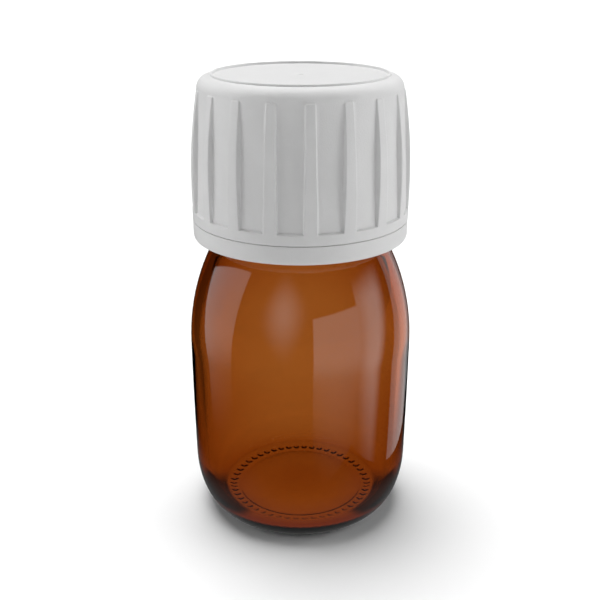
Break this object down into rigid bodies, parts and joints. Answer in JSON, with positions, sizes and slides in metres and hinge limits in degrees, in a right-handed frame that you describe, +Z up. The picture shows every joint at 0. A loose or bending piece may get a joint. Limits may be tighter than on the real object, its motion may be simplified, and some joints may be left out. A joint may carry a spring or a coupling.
{
  "type": "amber glass medicine bottle with child-resistant cap",
  "caption": "Small round amber glass medicine bottle with a ribbed white push-and-turn child-resistant cap and a tamper-evident band.",
  "frame": {"origin": "centre of the bottle's base, on the surface that it stands on", "axes": "+Z up along the screw axis; -Y is the side seen from the front"},
  "size_m": [0.0364, 0.0364, 0.0734],
  "materials": {
    "amber_glass": "clear amber glass, polished, slightly wavy inside",
    "cap_plastic": "white polypropylene with a fine satin grain",
    "inner_plastic": "natural white polypropylene, smooth",
    "liner_foam": "closed-cell polyethylene foam",
    "liner_skin": "thin smooth polyethylene film"
  },
  "bodies": {
    "bottle": {"glass_bottle": "amber_glass"},
    "band": {"tamper_band": "cap_plastic", "band_pawls": "cap_plastic", "band_bridges": "cap_plastic"},
    "liner": {"liner_facing": "liner_skin", "liner_foam": "liner_foam", "liner_backing": "liner_skin"},
    "threaded_cap": {"inner_cap": "inner_plastic"},
    "spring": {"spring_fingers": "inner_plastic"},
    "shell": {"outer_cap": "cap_plastic"}
  },
  "joints": [
    {"name": "cap_rise", "type": "slide", "parent": "bottle", "child": "liner", "axis": [0, 0, 1], "range_m": [0, 0.01908]},
    {"name": "cap_turn", "type": "hinge", "parent": "liner", "child": "threaded_cap", "pos_m": [0, 0, 0.062], "axis": [0, 0, 1], "range_deg": [0, 2161]},
    {"name": "press", "type": "slide", "parent": "threaded_cap", "child": "spring", "axis": [0, 0, 1], "range_m": [-0.001, 0], "stiffness_N_per_m": 20000, "deforming": ["spring_fingers"]},
    {"name": "outer_spin", "type": "hinge", "parent": "spring", "child": "shell", "pos_m": [0, 0, 0.062], "axis": [0, 0, 1], "continuous": true},
    {"name": "band_drop", "type": "slide", "parent": "bottle", "child": "band", "axis": [0, 0, 1], "range_m": [-0.001, 0]}
  ],
  "couplings": [
    {"joint": "cap_turn", "follows": "cap_rise", "rad_per_m": 1975.8},
    {"joint": "band_drop", "follows": "press", "ratio": 1}
  ]
}
